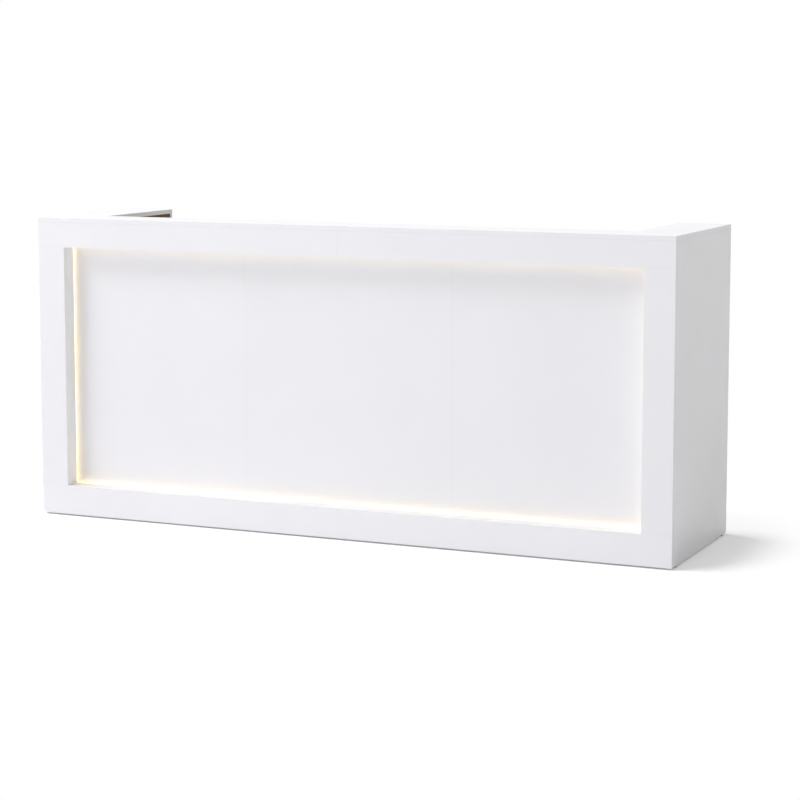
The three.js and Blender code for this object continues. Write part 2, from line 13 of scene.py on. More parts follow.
import bpy
import numpy as np
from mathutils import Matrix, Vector

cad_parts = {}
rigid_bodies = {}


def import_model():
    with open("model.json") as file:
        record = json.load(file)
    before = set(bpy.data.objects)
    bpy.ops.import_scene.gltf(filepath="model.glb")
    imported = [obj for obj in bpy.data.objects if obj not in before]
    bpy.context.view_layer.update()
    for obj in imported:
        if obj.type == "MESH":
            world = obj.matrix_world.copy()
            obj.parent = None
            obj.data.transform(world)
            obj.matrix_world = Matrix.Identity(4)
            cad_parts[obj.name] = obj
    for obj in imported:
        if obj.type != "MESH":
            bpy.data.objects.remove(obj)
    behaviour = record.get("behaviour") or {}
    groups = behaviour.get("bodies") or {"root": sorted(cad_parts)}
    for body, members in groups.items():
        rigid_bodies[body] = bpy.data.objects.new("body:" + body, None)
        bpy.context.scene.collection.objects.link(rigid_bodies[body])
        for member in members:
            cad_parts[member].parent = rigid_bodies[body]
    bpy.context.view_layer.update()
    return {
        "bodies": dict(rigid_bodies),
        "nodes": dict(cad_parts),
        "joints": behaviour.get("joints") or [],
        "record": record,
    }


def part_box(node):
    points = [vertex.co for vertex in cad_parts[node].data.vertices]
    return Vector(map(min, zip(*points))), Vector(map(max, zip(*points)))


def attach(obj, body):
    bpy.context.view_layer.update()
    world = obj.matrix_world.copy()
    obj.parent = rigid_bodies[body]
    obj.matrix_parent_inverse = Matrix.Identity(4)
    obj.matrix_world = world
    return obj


LOG = logging.getLogger("reception_desk")

Colour = tuple[float, float, float]
Point = tuple[float, float, float]
Span = tuple[float, float]
Socket = bpy.types.NodeSocket
Feed = Socket | float | Colour

WHITE: Colour = (1.0, 1.0, 1.0)

# Sockets of a mix node that mixes colours
MIX_INPUTS = (0, 6, 7)
MIX_RESULT = 2

# Range that most of a noise lies in
NOISE_SPAN: Span = (0.3, 0.7)

# Waves per metre and octaves of the broad patches of tone and of the uneven roughness
PATCH_WAVES: Point = (2.3, 2.3, 2.3)
PATCH_OCTAVES = 3.0
ROUGH_WAVES: Point = (17.0, 17.0, 17.0)
ROUGH_OCTAVES = 4.0

# Octaves of the fine relief and its height at full strength
RELIEF_OCTAVES = 2.0
RELIEF_HEIGHT = 0.0004

# How soon an edge takes its own tone, and how finely it is sampled
EDGE_GAIN = 1.6
EDGE_SAMPLES = 4

# A face counts as turned to the inside above this cosine
FACING_LIMIT = 0.9

# Faces that meet at a wider angle keep a sharp edge
SHARP_ANGLE = math.radians(40.0)


class Slot(Enum):
    """Material slots of the record."""

    BOARD = "white_board"
    DECOR = "wood_decor"
    DRAWER = "drawer_board"
    CHANNEL = "channel_metal"
    LIGHT = "light_strip"
    DRIVER = "driver_case"
    LEAD = "lead_sheath"
    GREY = "grey_plastic"
    BLACK = "black_plastic"
    METAL = "brushed_metal"


class Facing(Enum):
    """Which way a face looks."""

    RIGHT = (1.0, 0.0, 0.0)
    LEFT = (-1.0, 0.0, 0.0)
    STAFF = (0.0, 1.0, 0.0)
    VISITOR = (0.0, -1.0, 0.0)


class NodeTree:
    """A thin layer over a shader's node tree."""

    def __init__(self, tree: bpy.types.ShaderNodeTree) -> None:
        """Starts from an empty tree.

        Args:
            tree: The node tree to fill.
        """
        self.tree = tree
        tree.nodes.clear()

    def add(self, kind: str, settings: dict | None = None, **inputs: Feed) -> bpy.types.ShaderNode:
        """Adds a node.

        Args:
            kind: The node's type name.
            settings: Properties of the node itself.
            **inputs: Socket values or output sockets, by the socket's name with _ for a space.

        Returns:
            The new node.
        """
        node = self.tree.nodes.new(kind)
        for key, value in (settings or {}).items():
            setattr(node, key, value)
        for key, value in inputs.items():
            self.feed(node.inputs[key.replace("_", " ")], value)
        return node

    def feed(self, socket: Socket, value: Feed) -> None:
        """Gives a socket a link or a value.

        Args:
            socket: The input socket.
            value: An output socket, a number or a colour.
        """
        if isinstance(value, Socket):
            self.tree.links.new(value, socket)
        elif isinstance(value, tuple) and len(socket.default_value) > len(value):
            socket.default_value = (*value, 1.0)
        else:
            socket.default_value = value

    def chain(self, node: bpy.types.ShaderNode, *values: Feed) -> bpy.types.ShaderNode:
        """Feeds a node's first sockets in their order.

        Args:
            node: The node.
            *values: What the sockets get.

        Returns:
            The same node.
        """
        for socket, value in zip(node.inputs, values):
            self.feed(socket, value)
        return node

    def math(self, operation: str, *values: Feed) -> Socket:
        """Adds a math node and returns its result."""
        return self.chain(self.add("ShaderNodeMath", {"operation": operation}), *values).outputs[0]

    def dot(self, first: Feed, second: Feed) -> Socket:
        """Adds the dot product of two directions and returns its result."""
        node = self.add("ShaderNodeVectorMath", {"operation": "DOT_PRODUCT"})
        return self.chain(node, first, second).outputs["Value"]

    def noise(self, waves: Point, octaves: float) -> Socket:
        """Adds a noise in object coordinates.

        Args:
            waves: Waves per metre along each axis.
            octaves: Layers of ever finer waves.

        Returns:
            The noise's value.
        """
        place = self.add("ShaderNodeTexCoord").outputs["Object"]
        grid = self.add("ShaderNodeMapping", Vector=place, Scale=waves).outputs[0]
        return self.add("ShaderNodeTexNoise", Vector=grid, Scale=1.0, Detail=octaves).outputs["Fac"]

    def spread(self, value: Socket, low: float, high: float) -> Socket:
        """Maps the middle of a noise to a range.

        Args:
            value: The noise.
            low: Result at the noise's low end.
            high: Result at its high end.

        Returns:
            The mapped value.
        """
        start, end = NOISE_SPAN
        ends = {"From_Min": start, "From_Max": end, "To_Min": low, "To_Max": high}
        return self.add("ShaderNodeMapRange", Value=value, **ends).outputs[0]

    def blend(self, amount: Feed, first: Feed, second: Feed) -> Socket:
        """Mixes two colours.

        Args:
            amount: Share of the second colour.
            first: A colour.
            second: A colour.

        Returns:
            The mixed colour.
        """
        node = self.add("ShaderNodeMix", {"data_type": "RGBA"})
        for index, value in zip(MIX_INPUTS, (amount, first, second)):
            self.feed(node.inputs[index], value)
        return node.outputs[MIX_RESULT]

    def mix(self, amount: Feed, first: Socket, second: Socket) -> Socket:
        """Mixes two shaders, with the amount as the share of the second."""
        return self.chain(self.add("ShaderNodeMixShader"), amount, first, second).outputs[0]

    def finish(self, kind: str, surface: Socket) -> None:
        """Adds the output node of a kind and feeds it the surface."""
        self.add(kind, Surface=surface)


@dataclass(frozen=True)
class Finish:
    """A procedural surface.

    Attributes:
        name: The material's name.
        colour: Main colour, linear.
        shade: Colour that broad patches drift towards.
        roughness: Lowest and highest roughness.
        relief: Waves per metre of the fine relief along each axis.
        depth: Strength of the fine relief.
        metallic: 1 for a metal.
        edge: Colour that the edges take; on the white board it is painted shade that darkens its edges and
            seams.
        edge_width: Reach of an edge in metres.
    """

    name: str
    colour: Colour
    shade: Colour
    roughness: Span
    relief: Point
    depth: float
    metallic: float = 0.0
    edge: Colour = WHITE
    edge_width: float = 0.0012

    def material(self) -> bpy.types.Material:
        """Builds the material: broad patches of tone, fine relief, uneven roughness and edges in their own
        colour, which on the white board is painted shade along edges and seams.

        Returns:
            The material.
        """
        material = bpy.data.materials.new(self.name)
        material.use_nodes = True
        nodes = NodeTree(material.node_tree)
        patches = nodes.spread(nodes.noise(PATCH_WAVES, PATCH_OCTAVES), 0.0, 1.0)
        # Edges blend to the edge colour; on the white board this is painted shade that darkens edges and
        # seams
        tone = nodes.blend(self.arris(nodes), self.tone(nodes, patches), self.edge)
        rough = nodes.spread(nodes.noise(ROUGH_WAVES, ROUGH_OCTAVES), *self.roughness)
        fine = nodes.noise(self.relief, RELIEF_OCTAVES)
        bump = nodes.add("ShaderNodeBump", Strength=self.depth, Distance=RELIEF_HEIGHT, Height=fine)
        shader = nodes.add(
            "ShaderNodeBsdfPrincipled",
            Base_Color=tone, Metallic=self.metallic, Roughness=rough, Normal=bump.outputs[0],
        )
        self.complete(nodes, shader)
        nodes.finish("ShaderNodeOutputMaterial", shader.outputs[0])
        return material

    def arris(self, nodes: NodeTree) -> Socket:
        """Finds the edges, where a rounded normal leaves the face's own.

        Args:
            nodes: The material's nodes.

        Returns:
            0 on a face, rising towards its edges.
        """
        rounded = nodes.add("ShaderNodeBevel", {"samples": EDGE_SAMPLES}, Radius=self.edge_width).outputs[0]
        face = nodes.add("ShaderNodeNewGeometry").outputs["Normal"]
        turned = nodes.math("SUBTRACT", 1.0, nodes.dot(rounded, face))
        return nodes.math("MULTIPLY", turned, EDGE_GAIN)

    def tone(self, nodes: NodeTree, patches: Socket) -> Socket:
        """Colours the surface by the broad noise, which goes from 0 to 1."""
        return nodes.blend(patches, self.colour, self.shade)

    def complete(self, nodes: NodeTree, shader: bpy.types.ShaderNode) -> None:
        """Adds to the surface shader what a kind of finish has beyond the common layers."""


@dataclass(frozen=True, kw_only=True)
class GlowingFinish(Finish):
    """A finish that gives light.

    Attributes:
        glow: Colour of the light.
        strength: Strength of the light.
    """

    glow: Colour
    strength: float

    def complete(self, nodes: NodeTree, shader: bpy.types.ShaderNode) -> None:
        """Adds the light."""
        nodes.feed(shader.inputs["Emission Color"], self.glow)
        nodes.feed(shader.inputs["Emission Strength"], self.strength)


@dataclass(frozen=True, kw_only=True)
class WoodFinish(Finish):
    """A brown wood decor.

    Attributes:
        run: Waves per metre of the grain along each axis, few along its length.
        streaks: Share of the long streaks in the tone.
        streak_octaves: Octaves of the streaks.
        pores: Share of the pores.
        pore_octaves: Octaves of the pores.
        fineness: Waves of the pores for each wave of the streaks.
    """

    run: Point
    streaks: float = 0.8
    streak_octaves: float = 6.0
    pores: float = 0.35
    pore_octaves: float = 2.0
    fineness: float = 6.0

    def tone(self, nodes: NodeTree, patches: Socket) -> Socket:
        """Colours the surface with long streaks of grain, broken by finer pores.

        Args:
            nodes: The material's nodes.
            patches: Broad noise, which the decor doesn't use.

        Returns:
            The colour.
        """
        streaks = nodes.spread(nodes.noise(self.run, self.streak_octaves), 0.0, 1.0)
        fine_run = tuple(self.fineness * wave for wave in self.run)
        pores = nodes.spread(nodes.noise(fine_run, self.pore_octaves), 0.0, self.pores)
        grain = nodes.math("MULTIPLY_ADD", streaks, self.streaks, pores)
        return nodes.blend(grain, self.colour, self.shade)


@dataclass(frozen=True, kw_only=True)
class LinedFinish(Finish):
    """A board's finish with a wood decor on the face that it turns to the inside.

    Attributes:
        inward: Which way the inside face looks.
        wood: The decor.
    """

    inward: Facing
    wood: WoodFinish

    def tone(self, nodes: NodeTree, patches: Socket) -> Socket:
        """Colours the inside face with the decor and the other faces as the plain board.

        Args:
            nodes: The material's nodes.
            patches: Broad noise from 0 to 1.

        Returns:
            The colour.
        """
        normal = nodes.add("ShaderNodeNewGeometry").outputs["True Normal"]
        inside = nodes.math("GREATER_THAN", nodes.dot(normal, self.inward.value), FACING_LIMIT)
        return nodes.blend(inside, super().tone(nodes, patches), self.wood.tone(nodes, patches))


# Grain along the worktop, and up the lined boards
WORKTOP_RUN: Point = (2.2, 75.0, 75.0)
LINING_RUN: Point = (75.0, 75.0, 2.2)

FINISHES: dict[Slot, Finish] = {
    # The white board's grey edge colour is painted shade: it darkens the boards' edges so that the seams
    # between them show as lines
    Slot.BOARD: Finish(
        name="satin_white_laminate", colour=(0.875, 0.875, 0.885), shade=(0.855, 0.855, 0.866),
        roughness=(0.3, 0.42), relief=(900.0, 900.0, 900.0), depth=0.1, edge=(0.45, 0.45, 0.47),
    ),
    Slot.DECOR: WoodFinish(
        name="brown_wood_decor", colour=(0.6, 0.5, 0.37), shade=(0.43, 0.345, 0.24),
        roughness=(0.36, 0.5), relief=(30.0, 1200.0, 1200.0), depth=0.14, edge=(0.3, 0.23, 0.15),
        run=WORKTOP_RUN,
    ),
    Slot.DRAWER: Finish(
        name="pale_drawer_board", colour=(0.66, 0.66, 0.64), shade=(0.62, 0.62, 0.6),
        roughness=(0.42, 0.56), relief=(700.0, 700.0, 700.0), depth=0.12, edge=(0.72, 0.72, 0.7),
    ),
    Slot.CHANNEL: Finish(
        name="anodised_channel", colour=(0.74, 0.75, 0.76), shade=(0.68, 0.69, 0.7),
        roughness=(0.3, 0.42), relief=(60.0, 900.0, 60.0), depth=0.12, metallic=1.0,
        edge=(0.85, 0.85, 0.86), edge_width=0.0004,
    ),
    Slot.LIGHT: GlowingFinish(
        name="warm_light_strip", colour=(0.95, 0.9, 0.78), shade=(0.9, 0.84, 0.7),
        roughness=(0.4, 0.5), relief=(800.0, 800.0, 800.0), depth=0.05, edge_width=0.0003,
        glow=(1.0, 0.78, 0.44), strength=4.0,
    ),
    Slot.DRIVER: Finish(
        name="bead_blasted_case", colour=(0.55, 0.56, 0.58), shade=(0.48, 0.49, 0.51),
        roughness=(0.4, 0.55), relief=(1400.0, 1400.0, 1400.0), depth=0.3, metallic=1.0,
        edge=(0.75, 0.76, 0.78), edge_width=0.0006,
    ),
    Slot.LEAD: Finish(
        name="lead_sheath", colour=(0.72, 0.72, 0.7), shade=(0.66, 0.66, 0.64),
        roughness=(0.4, 0.52), relief=(500.0, 500.0, 60.0), depth=0.08, edge_width=0.0003,
    ),
    Slot.GREY: Finish(
        name="grey_moulding", colour=(0.3, 0.305, 0.31), shade=(0.26, 0.265, 0.27),
        roughness=(0.42, 0.58), relief=(1600.0, 1600.0, 1600.0), depth=0.22,
        edge=(0.4, 0.405, 0.41), edge_width=0.0005,
    ),
    Slot.BLACK: Finish(
        name="black_moulding", colour=(0.02, 0.02, 0.021), shade=(0.028, 0.028, 0.029),
        roughness=(0.28, 0.4), relief=(1500.0, 1500.0, 1500.0), depth=0.16,
        edge=(0.07, 0.07, 0.072), edge_width=0.0004,
    ),
    Slot.METAL: Finish(
        name="brushed_steel", colour=(0.62, 0.63, 0.64), shade=(0.55, 0.56, 0.57),
        roughness=(0.24, 0.38), relief=(40.0, 2400.0, 2400.0), depth=0.22, metallic=1.0,
        edge=(0.8, 0.8, 0.81), edge_width=0.0005,
    ),
}

# Boards with the decor on one face, and which way that face looks
LININGS: dict[str, Facing] = {
    "side_panel_left": Facing.RIGHT,
    "side_panel_right": Facing.LEFT,
    "end_panel_left": Facing.VISITOR,
    "end_panel_right": Facing.VISITOR,
    "front_panel_left": Facing.STAFF,
    "front_panel_centre": Facing.STAFF,
    "front_panel_right": Facing.STAFF,
}

# Strength of the strips that shine more or less than the finish says
STRIP_LIGHT: dict[str, float] = {
    "led_strip_top": 2.9,
    "led_strip_left": 3.2,
    "led_strip_bottom": 6.0,
}


class Desk:
    """The packed desk, its nodes dressed in their finishes."""

    def __init__(self, frame: dict) -> None:
        """Keeps the frame and builds the materials.
        """
        self.nodes = frame["nodes"]
        self.slots = {row["node"]: Slot(row["material_slot"]) for row in frame["record"]["subparts"]}
        self.materials = {slot: finish.material() for slot, finish in FINISHES.items()}

    def dress(self) -> None:
        """Gives every node the finish of its slot."""
        for name, node in self.nodes.items():
            node.data.materials.clear()
            node.data.materials.append(self.material(name))
            LOG.info("%s: %s", name, self.slots[name].value)

    def material(self, name: str) -> bpy.types.Material:
        """Finds a node's material.

        Args:
            name: The node's name.

        Returns:
            The finish of its slot, with a strip's own light and a lined board's decor.
        """
        slot = self.slots[name]
        if name in STRIP_LIGHT:
            return replace(FINISHES[slot], name=f"lit_{name}", strength=STRIP_LIGHT[name]).material()
        if name in LININGS:
            plain = vars(FINISHES[slot]) | {"name": f"lined_{name}"}
            wood = replace(FINISHES[Slot.DECOR], run=LINING_RUN)
            return LinedFinish(**plain, inward=LININGS[name], wood=wood).material()
        return self.materials[slot]


class Surface:
    """Grids of points joined to one mesh."""

    def __init__(self) -> None:
        """Starts with no grid."""
        self.points: list[np.ndarray] = []
        self.faces: list[list[int]] = []
        self.count = 0

    def add(self, grid: np.ndarray) -> None:
        """Adds a grid that closes round its columns, with a flat face over its first and last row.

        Args:
            grid: Points of shape (rows, columns, 3), turning left as seen from beyond the last row.
        """
        rows, columns, _ = grid.shape
        start = self.count + columns * np.arange(rows - 1)[:, None]
        here = np.arange(columns)[None, :]
        after = (here + 1) % columns
        corners = (start + here, start + after, start + columns + after, start + columns + here)
        quads = np.stack(corners, axis=-1).reshape(-1, 4)
        first = self.count + np.arange(columns)[::-1]
        last = self.count + columns * (rows - 1) + np.arange(columns)
        self.faces += [*quads.tolist(), first.tolist(), last.tolist()]
        self.points.append(grid.reshape(-1, 3))
        self.count += rows * columns

    def piece(self, name: str, material: bpy.types.Material) -> bpy.types.Object:
        """Makes the mesh, smooth but for its arrises.

        Args:
            name: The piece's name.
            material: Its material.

        Returns:
            The piece.
        """
        data = bpy.data.meshes.new(name)
        data.from_pydata(np.concatenate(self.points).tolist(), [], self.faces)
        data.polygons.foreach_set("use_smooth", np.ones(len(data.polygons), dtype=bool))
        data.set_sharp_from_angle(angle=SHARP_ANGLE)
        data.materials.append(material)
        piece = bpy.data.objects.new(name, data)
        bpy.context.scene.collection.objects.link(piece)
        return piece


@dataclass(frozen=True)
class Spot:
    """A place on a face.

    Attributes:
        place: The point on the face.
        facing: Which way the face looks.
    """

    place: Point
    facing: Facing

    def stand(self, local: np.ndarray) -> np.ndarray:
        """Stands points given about +Z on the face.

        Args:
            local: Points of shape (..., 3).

        Returns:
            The points in the desk's frame.
        """
        turn = Vector((0.0, 0.0, 1.0)).rotation_difference(Vector(self.facing.value)).to_matrix()
        return local @ np.array(turn).T + np.array(self.place)


def node_box(name: str) -> tuple[np.ndarray, np.ndarray]:
    """Finds a node's lowest and highest corner."""
    low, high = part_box(name)
    return np.array(low), np.array(high)


def polar(radius: np.ndarray, columns: int) -> tuple[np.ndarray, np.ndarray]:
    """Spreads rings of points round the origin.

    Args:
        radius: Radius of each ring.
        columns: Points in a ring.

    Returns:
        The points' X and Y, each of shape (rings, columns).
    """
    angle = np.linspace(0.0, 2.0 * math.pi, columns, endpoint=False)
    return radius[:, None] * np.cos(angle), radius[:, None] * np.sin(angle)


@dataclass(frozen=True)
class Fittings:
    """A set of equal small fittings on one body.

    Attributes:
        name: The piece's name.
        body: The body that it rides on.
        slot: The slot of its finish.
    """

    name: str
    body: str
    slot: Slot

    def spots(self) -> list[Spot]:
        """Finds where the fittings stand."""
        raise NotImplementedError

    def grids(self) -> list[np.ndarray]:
        """Shapes one fitting about +Z, standing on the origin."""
        raise NotImplementedError

    def build(self, materials: dict[Slot, bpy.types.Material]) -> None:
        """Adds the set to the desk.

        Args:
            materials: The desk's materials.
        """
        surface = Surface()
        spots = self.spots()
        for spot in spots:
            for grid in self.grids():
                surface.add(spot.stand(grid))
        piece = surface.piece(self.name, materials[self.slot])
        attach(piece, self.body)
        LOG.info("%s: %d fittings", self.name, len(spots))


@dataclass(frozen=True)
class CappedFace:
    """A face of an upright board with one row of caps under the worktop and one up the wall.

    Attributes:
        node: The board.
        facing: Which way the face looks.
        reaches: Distances of the upper row's caps from the wall.
        heights: Heights of the other row's caps above the floor.
        drop: Distance of the upper row from the board's top.
        inset: Distance of the other row from the wall.
    """

    node: str
    facing: Facing
    reaches: tuple[float, ...]
    heights: tuple[float, ...]
    drop: float = 0.025
    inset: float = 0.019

    def spots(self) -> list[Spot]:
        """Places the caps.

        Returns:
            The spots on the board's face.
        """
        low, high = node_box(self.node)
        x = high[0] if self.facing is Facing.RIGHT else low[0]
        upper = [(low[1] + reach, high[2] - self.drop) for reach in self.reaches]
        beside = [(low[1] + self.inset, height) for height in self.heights]
        return [Spot((x, y, z), self.facing) for y, z in upper + beside]


@dataclass(frozen=True)
class CoverCaps(Fittings):
    """Domed caps over sunk screws.

    Attributes:
        faces: The faces that show caps.
        radius: Radius of the rim.
        rim: Height of the rim.
        height: Height of the dome.
        sweep: Angle of the dome's profile, just short of its pole.
        counts: Rings and columns of the dome.
    """

    faces: tuple[CappedFace, ...]
    radius: float = 0.0065
    rim: float = 0.0005
    height: float = 0.0011
    sweep: float = 0.46 * math.pi
    counts: tuple[int, int] = (8, 32)

    def spots(self) -> list[Spot]:
        """Gathers the spots of all faces."""
        return [spot for face in self.faces for spot in face.spots()]

    def grids(self) -> list[np.ndarray]:
        """The rim rises straight; the dome's radius falls as a cosine while its height rises as a sine.

        Returns:
            One grid, from the rim's foot to the dome's top.
        """
        rings, columns = self.counts
        swing = np.linspace(0.0, self.sweep, rings)
        radius = np.concatenate(([self.radius], self.radius * np.cos(swing)))
        height = np.concatenate(([0.0], self.rim + (self.height - self.rim) * np.sin(swing)))
        x, y = polar(radius, columns)
        return [np.stack((x, y, np.broadcast_to(height[:, None], x.shape)), axis=-1)]


@dataclass(frozen=True)
class PanHead:
    """The head of a screw with a cross recess, or of a plain nail.

    Attributes:
        radius: Radius of the head.
        height: Height of the head.
        arm: Half-length of the cross.
        slit: Half-width of the cross.
        depth: Depth of the cross, 0 for a plain head.
        droop: Share of its height that the head loses towards its rim.
        pole: Radius of the innermost ring.
        counts: Rings and columns of the head.
    """

    radius: float = 0.004
    height: float = 0.0024
    arm: float = 0.0022
    slit: float = 0.0005
    depth: float = 0.0013
    droop: float = 0.55
    pole: float = 0.00012
    counts: tuple[int, int] = (22, 64)

    def grid(self) -> np.ndarray:
        """A dome that falls with the fourth power of the radius, less a cross that fades out at its ends.

        Returns:
            The grid, from the rim's foot to the pole.
        """
        rings, columns = self.counts
        radius = np.concatenate(([self.radius], np.linspace(self.radius, self.pole, rings)))
        x, y = polar(radius, columns)
        dome = self.height * (1.0 - self.droop * (radius[:, None] / self.radius) ** 4)
        slit = np.exp(-((np.minimum(np.abs(x), np.abs(y)) / self.slit) ** 4))
        reach = np.exp(-((np.hypot(x, y) / self.arm) ** 8))
        height = dome - self.depth * slit * reach
        height[0] = 0.0
        return np.stack((x, y, height), axis=-1)


@dataclass(frozen=True)
class CrossScrews(Fittings):
    """Screws whose heads show.

    Attributes:
        head: The screws' head.
    """

    head: PanHead = PanHead()

    def grids(self) -> list[np.ndarray]:
        """Shapes the head."""
        return [self.head.grid()]


@dataclass(frozen=True)
class DriverScrews(CrossScrews):
    """The screws in the two ears of the lights' driver.

    Attributes:
        driver: The driver's node.
        plate: Thickness of an ear.
        inset: Distance of a screw from the end of its ear.
    """

    driver: str = "led_driver"
    plate: float = 0.002
    inset: float = 0.009

    def spots(self) -> list[Spot]:
        """Places one screw on the middle of each ear.

        Returns:
            The two spots.
        """
        low, high = node_box(self.driver)
        x = (low[0] + high[0]) / 2.0
        heights = (low[2] + self.inset, high[2] - self.inset)
        return [Spot((x, low[1] + self.plate, z), Facing.STAFF) for z in heights]


@dataclass(frozen=True, kw_only=True)
class HandleScrews(CrossScrews):
    """The screws behind the feet of a drawer's handle.

    Attributes:
        handle: The handle's node.
        front: The drawer front's node.
        behind: Distance of the heads' seat behind the drawer front.
        foot: Distance of a foot's middle from the handle's end.
    """

    handle: str
    front: str
    behind: float = 0.0
    foot: float = 0.004

    def spots(self) -> list[Spot]:
        """Places one screw behind each foot.

        Returns:
            The two spots.
        """
        low, high = node_box(self.handle)
        seat = node_box(self.front)[0][1] - self.behind
        z = (low[2] + high[2]) / 2.0
        return [Spot((x, seat, z), Facing.VISITOR) for x in (low[0] + self.foot, high[0] - self.foot)]


@dataclass(frozen=True)
class LeadClips(Fittings):
    """Saddles that hold the lead to the wall, each with a tab and a nail.

    Attributes:
        lead: The lead's node.
        wall: The node of the wall behind it.
        heights: Heights of the clips above the floor.
        lift: Height of the lead's middle above the wall.
        bow: Radius of the saddle's mid-line.
        tab: Length of the tab beside the lead.
        gauge: Half of the strip's thickness.
        half: Half of the strip's width.
        flare: Points of the bend from the saddle to the tab, beyond the bow and above the wall.
        nail: The nail's head.
        nail_share: Place of the nail along the tab.
        steps: Points along the saddle's arch.
    """

    lead: str = "led_lead"
    wall: str = "front_panel_left"
    heights: tuple[float, ...] = (0.14, 0.25, 0.37)
    lift: float = 0.00208
    bow: float = 0.0025
    tab: float = 0.0085
    gauge: float = 0.0005
    half: float = 0.0025
    flare: tuple[Span, Span] = ((0.0002, 0.0012), (0.0008, 0.0005))
    nail: PanHead = PanHead(radius=0.0018, height=0.0009, depth=0.0)
    nail_share: float = 0.6
    steps: int = 15

    def spots(self) -> list[Spot]:
        """Places the clips on the wall, over the lead.

        Returns:
            The spots, from the lowest up.
        """
        low, high = node_box(self.lead)
        wall = node_box(self.wall)[1][1]
        return [Spot(((low[0] + high[0]) / 2.0, wall, z), Facing.STAFF) for z in self.heights]

    def grids(self) -> list[np.ndarray]:
        """A strip over a half circle, with one straight leg and one that turns out along the wall.

        Returns:
            The strip's grid and the nail's.
        """
        swing = np.linspace(math.pi, 0.0, self.steps)
        arch = np.stack((self.bow * np.cos(swing), self.lift + self.bow * np.sin(swing)), axis=-1)
        foot = np.array([[-self.bow, 0.0]])
        turn = np.array(self.flare) + np.array((self.bow, 0.0))
        end = np.array([[self.bow + self.tab, self.gauge]])
        path = np.concatenate((foot, arch, turn, end))
        along = np.gradient(path, axis=0)
        along /= np.linalg.norm(along, axis=1, keepdims=True)
        side = self.gauge * np.stack((-along[:, 1], along[:, 0]), axis=-1)
        corners = ((side, self.half), (side, -self.half), (-side, -self.half), (-side, self.half))
        strip = np.stack([self.line(path + away, across) for away, across in corners], axis=1)
        nail = np.array((self.bow + self.nail_share * self.tab, 0.0, 2.0 * self.gauge))
        return [strip, nail + self.nail.grid()]

    @staticmethod
    def line(path: np.ndarray, across: float) -> np.ndarray:
        """Sets a line along the strip at a distance across it, as points about +Z."""
        return np.stack((path[:, 0], np.full(len(path), across), path[:, 1]), axis=-1)


FITTINGS: tuple[Fittings, ...] = (
    CoverCaps(
        "cover_caps", "desk", Slot.BOARD,
        (
            CappedFace("gable_left", Facing.RIGHT, (0.083, 0.293, 0.503), (0.12, 0.36, 0.6)),
            CappedFace("gable_centre", Facing.RIGHT, (0.083, 0.313), (0.12, 0.6)),
            CappedFace("gable_centre", Facing.LEFT, (0.083, 0.313), (0.12, 0.6)),
            CappedFace("pedestal_side", Facing.LEFT, (0.083, 0.293, 0.453), (0.22, 0.6)),
        ),
    ),
    DriverScrews("driver_screws", "desk", Slot.METAL),
    HandleScrews(
        "upper_handle_screws", "upper_drawer", Slot.METAL,
        handle="drawer_handle_upper", front="drawer_front_upper", behind=0.0151,
    ),
    HandleScrews(
        "lower_handle_screws", "lower_drawer", Slot.METAL,
        handle="drawer_handle_lower", front="drawer_front_lower",
    ),
    LeadClips("lead_clips", "desk", Slot.LEAD),
)


@dataclass(frozen=True)
class Softbox:
    """A soft lamp.

    Attributes:
        name: The lamp's name.
        place: Where it stands.
        target: What it faces.
        size: Width and height.
        power: Watts.
        colour: Colour of its light.
    """

    name: str
    place: Point
    target: Point
    size: Span
    power: float
    colour: Colour

    def build(self) -> None:
        """Hangs the lamp in the scene."""
        data = bpy.data.lights.new(self.name, "AREA")
        data.shape = "RECTANGLE"
        data.size, data.size_y = self.size
        data.energy = self.power
        data.color = self.colour
        lamp = bpy.data.objects.new(self.name, data)
        lamp.location = self.place
        aim = Vector(self.target) - Vector(self.place)
        lamp.rotation_euler = aim.to_track_quat("-Z", "Y").to_euler()
        bpy.context.scene.collection.objects.link(lamp)


@dataclass(frozen=True)
class HighLight:
    """A distant lamp high on the left, which gives the desk its short shadow.

    Attributes:
        name: The lamp's name.
        direction: From the desk towards the lamp.
        strength: Its light on a face turned to it.
        spread: Width of the lamp in degrees, which softens the shadow's edge.
    """

    name: str = "high_light"
    direction: Point = (-0.22, 0.0, 0.97)
    strength: float = 1.03
    spread: float = 14.0

    def build(self) -> None:
        """Hangs the lamp in the scene."""
        data = bpy.data.lights.new(self.name, "SUN")
        data.energy = self.strength
        data.angle = math.radians(self.spread)
        lamp = bpy.data.objects.new(self.name, data)
        lamp.rotation_euler = Vector(self.direction).to_track_quat("Z", "Y").to_euler()
        bpy.context.scene.collection.objects.link(lamp)


